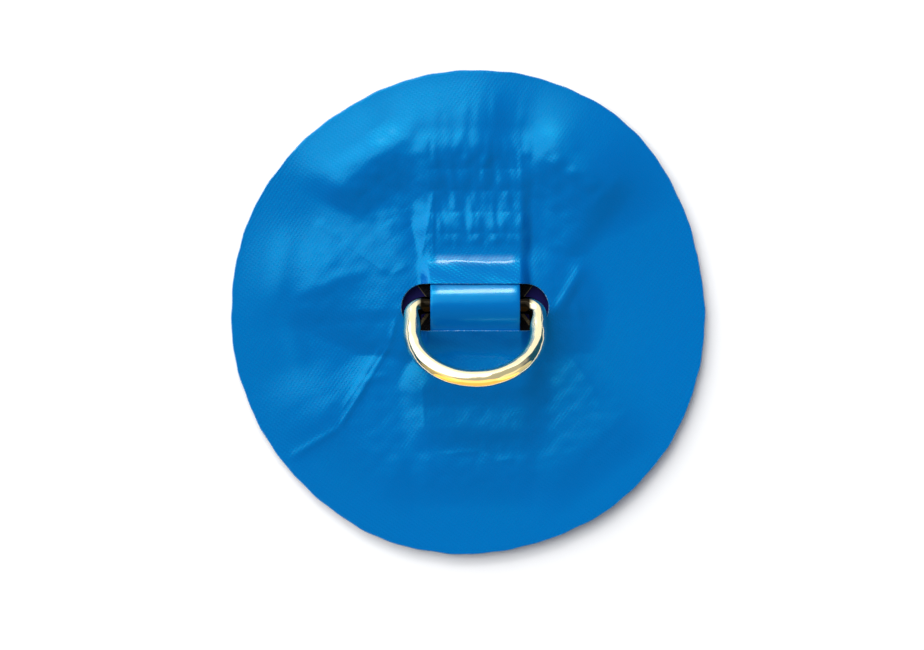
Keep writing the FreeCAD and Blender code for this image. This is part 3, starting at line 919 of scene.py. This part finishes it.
class PADEYE_OT_stage(bpy.types.Operator):
    """Set the paper floor, the soft lights and the camera"""
    bl_idname = "pad_eye.stage"
    bl_label = "Stage"

    def execute(self, context):
        scene = context.scene
        mesh = bpy.data.meshes.new("floor")
        x, y, z = 0.25, 0.18, -0.0002
        mesh.from_pydata([(-x, -y, z), (x, -y, z), (x, y, z), (-x, y, z)], [], [(0, 1, 2, 3)])
        mesh.materials.append(studio_paper("seamless_paper", srgb("FCFCFC")))
        floor = bpy.data.objects.new("floor", mesh)
        scene.collection.objects.link(floor)
        surround(scene)
        # A narrow strip light up the +Y side, seen as streaks on the coated humps.
        strip = bpy.data.lights.new("strip_light", "AREA")
        strip.shape = "RECTANGLE"
        strip.size = 0.6
        strip.size_y = 0.11
        strip.energy = 2.2
        lamp = bpy.data.objects.new("strip_light", strip)
        lamp.location = (-0.1, 0.81, 0.93)
        lamp.rotation_euler = Vector((0.1, -0.81, -0.93)).to_track_quat("-Z", "Y").to_euler()
        scene.collection.objects.link(lamp)
        ring_cards(scene)
        camera = bpy.data.cameras.new("camera")
        camera.sensor_width = 36.0
        camera.lens = 79.1
        camera.clip_end = 20.0
        eye = bpy.data.objects.new("camera", camera)
        eye.location = (-0.0061, -0.0082, 0.95)
        scene.collection.objects.link(eye)
        scene.camera = eye
        scene.view_settings.view_transform = "Standard"
        scene.view_settings.look = "None"
        return {"FINISHED"}


# name, direction from the ring, radius of the round card in metres, energy, colour
RING_CARDS = (
    ("gold_card", (0.04, -0.93, 0.26), 0.64, 5.4, (1.0, 0.48, 0.0)),
    ("tan_card", (-0.72, -0.5, 0.45), 0.25, 0.34, (1.0, 0.7, 0.15)),
    ("cream_card", (0.8, -0.4, 0.45), 0.25, 0.45, (1.0, 0.82, 0.4)),
    ("white_card", (0.0, 1.0, 0.25), 0.34, 1.3, (1.0, 0.95, 0.8)),
)


def ring_cards(scene):
    """Round reflector cards half a metre off that light nothing but the ring, so
    its mirror finish has warm and pale bands to show."""
    mirrored = bpy.data.collections.new("lit_by_cards")
    mirrored.objects.link(bpy.data.objects["ring"])
    for name, direction, radius, energy, colour in RING_CARDS:
        light = bpy.data.lights.new(name, "AREA")
        light.shape = "DISK"
        light.size = 2.0 * radius
        light.energy = energy
        light.color = colour
        card = bpy.data.objects.new(name, light)
        aim = Vector(direction).normalized()
        card.location = aim * 0.5
        card.rotation_euler = (-aim).to_track_quat("-Z", "Y").to_euler()
        card.light_linking.receiver_collection = mirrored
        scene.collection.objects.link(card)


ROOM = (0.14, 0.155, 0.18, 1.0)

# direction, degrees from it where the patch of light starts and where it is full,
# colour, and whether only shiny surfaces pick it up
SURROUND = (
    ((0.0, 0.1, 1.0), 62.0, 46.0, (0.4, 0.41, 0.44), False),
    ((0.0, 0.0, 1.0), 60.0, 50.0, (0.56, 0.54, 0.44), True),
    ((0.0, 0.0, -1.0), 122.0, 112.0, (0.01, 0.09, 0.19), True),
    ((-0.52, 0.55, 0.66), 47.0, 23.0, (3.45, 3.45, 3.45), False),
    ((0.0, 0.81, 0.59), 22.0, 12.0, (0.7, 0.7, 0.7), True),
)


def surround(scene):
    """Studio surround by direction, each patch of light laid over the one before:
    an even dim room, a pale ceiling, the same ceiling warmer in reflections, a dark
    blue curtain low all round, a big soft source up and to the left, and a grey
    flag beside it."""
    world = bpy.data.worlds.new("studio_surround")
    scene.world = world
    world.use_nodes = True
    tree = world.node_tree
    tree.nodes.clear()
    place = add_node(tree, "ShaderNodeTexCoord")
    rays = add_node(tree, "ShaderNodeLightPath")
    room = None
    for direction, start, full, colour, shiny_only in SURROUND:
        aim = Vector(direction).normalized()
        toward = add_node(tree, "ShaderNodeVectorMath", {1: aim},
                          {0: place.outputs["Generated"]}, operation="DOT_PRODUCT")
        share = add_node(tree, "ShaderNodeMapRange",
                         {"From Min": math.cos(math.radians(start)),
                          "From Max": math.cos(math.radians(full))},
                         {"Value": toward.outputs["Value"]}, interpolation_type="SMOOTHSTEP")
        if shiny_only:
            share = add_node(tree, "ShaderNodeMath",
                             links={0: share.outputs[0], 1: rays.outputs["Is Glossy Ray"]},
                             operation="MULTIPLY")
        layer = add_node(tree, "ShaderNodeMix", {"A": ROOM, "B": (*colour, 1.0)},
                         {"Factor": share.outputs[0]}, data_type="RGBA")
        if room is not None:
            tree.links.new(room.outputs[2], layer.inputs["A"])
        room = layer
    room = add_node(tree, "ShaderNodeMix", {"B": (1.0, 1.0, 1.0, 1.0)},
                    {"Factor": rays.outputs["Is Camera Ray"], "A": room.outputs[2]},
                    data_type="RGBA")
    glow = add_node(tree, "ShaderNodeBackground", {"Strength": 1.0}, {"Color": room.outputs[2]})
    add_node(tree, "ShaderNodeOutputWorld", links={"Surface": glow.outputs[0]})


# ------------------------------------------------------------------ add-on


class PADEYE_PT_panel(bpy.types.Panel):
    """Sidebar panel with the settings and the steps in order"""
    bl_idname = "PADEYE_PT_panel"
    bl_label = "Pad Eye"
    bl_space_type = "VIEW_3D"
    bl_region_type = "UI"
    bl_category = "Pad Eye"

    def draw(self, context):
        column = self.layout.column()
        for name in PadEyeSettings.__annotations__:
            column.prop(context.scene.pad_eye, name)
        for operator in OPERATORS:
            column.operator(operator.bl_idname)


OPERATORS = (PADEYE_OT_base, PADEYE_OT_straps, PADEYE_OT_stitching, PADEYE_OT_cover,
             PADEYE_OT_ring, PADEYE_OT_stage)
CLASSES = (PadEyeSettings, *OPERATORS, PADEYE_PT_panel)


def register():
    for item in CLASSES:
        bpy.utils.register_class(item)
    bpy.types.Scene.pad_eye = PointerProperty(type=PadEyeSettings)


def unregister():
    del bpy.types.Scene.pad_eye
    for item in reversed(CLASSES):
        bpy.utils.unregister_class(item)


def main():
    """Build everything in order."""
    register()
    bpy.ops.pad_eye.base()
    bpy.ops.pad_eye.straps()
    bpy.ops.pad_eye.stitching()
    bpy.ops.pad_eye.cover()
    bpy.ops.pad_eye.ring()
    bpy.ops.pad_eye.stage()
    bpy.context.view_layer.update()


if __name__ == "__main__":
    main()
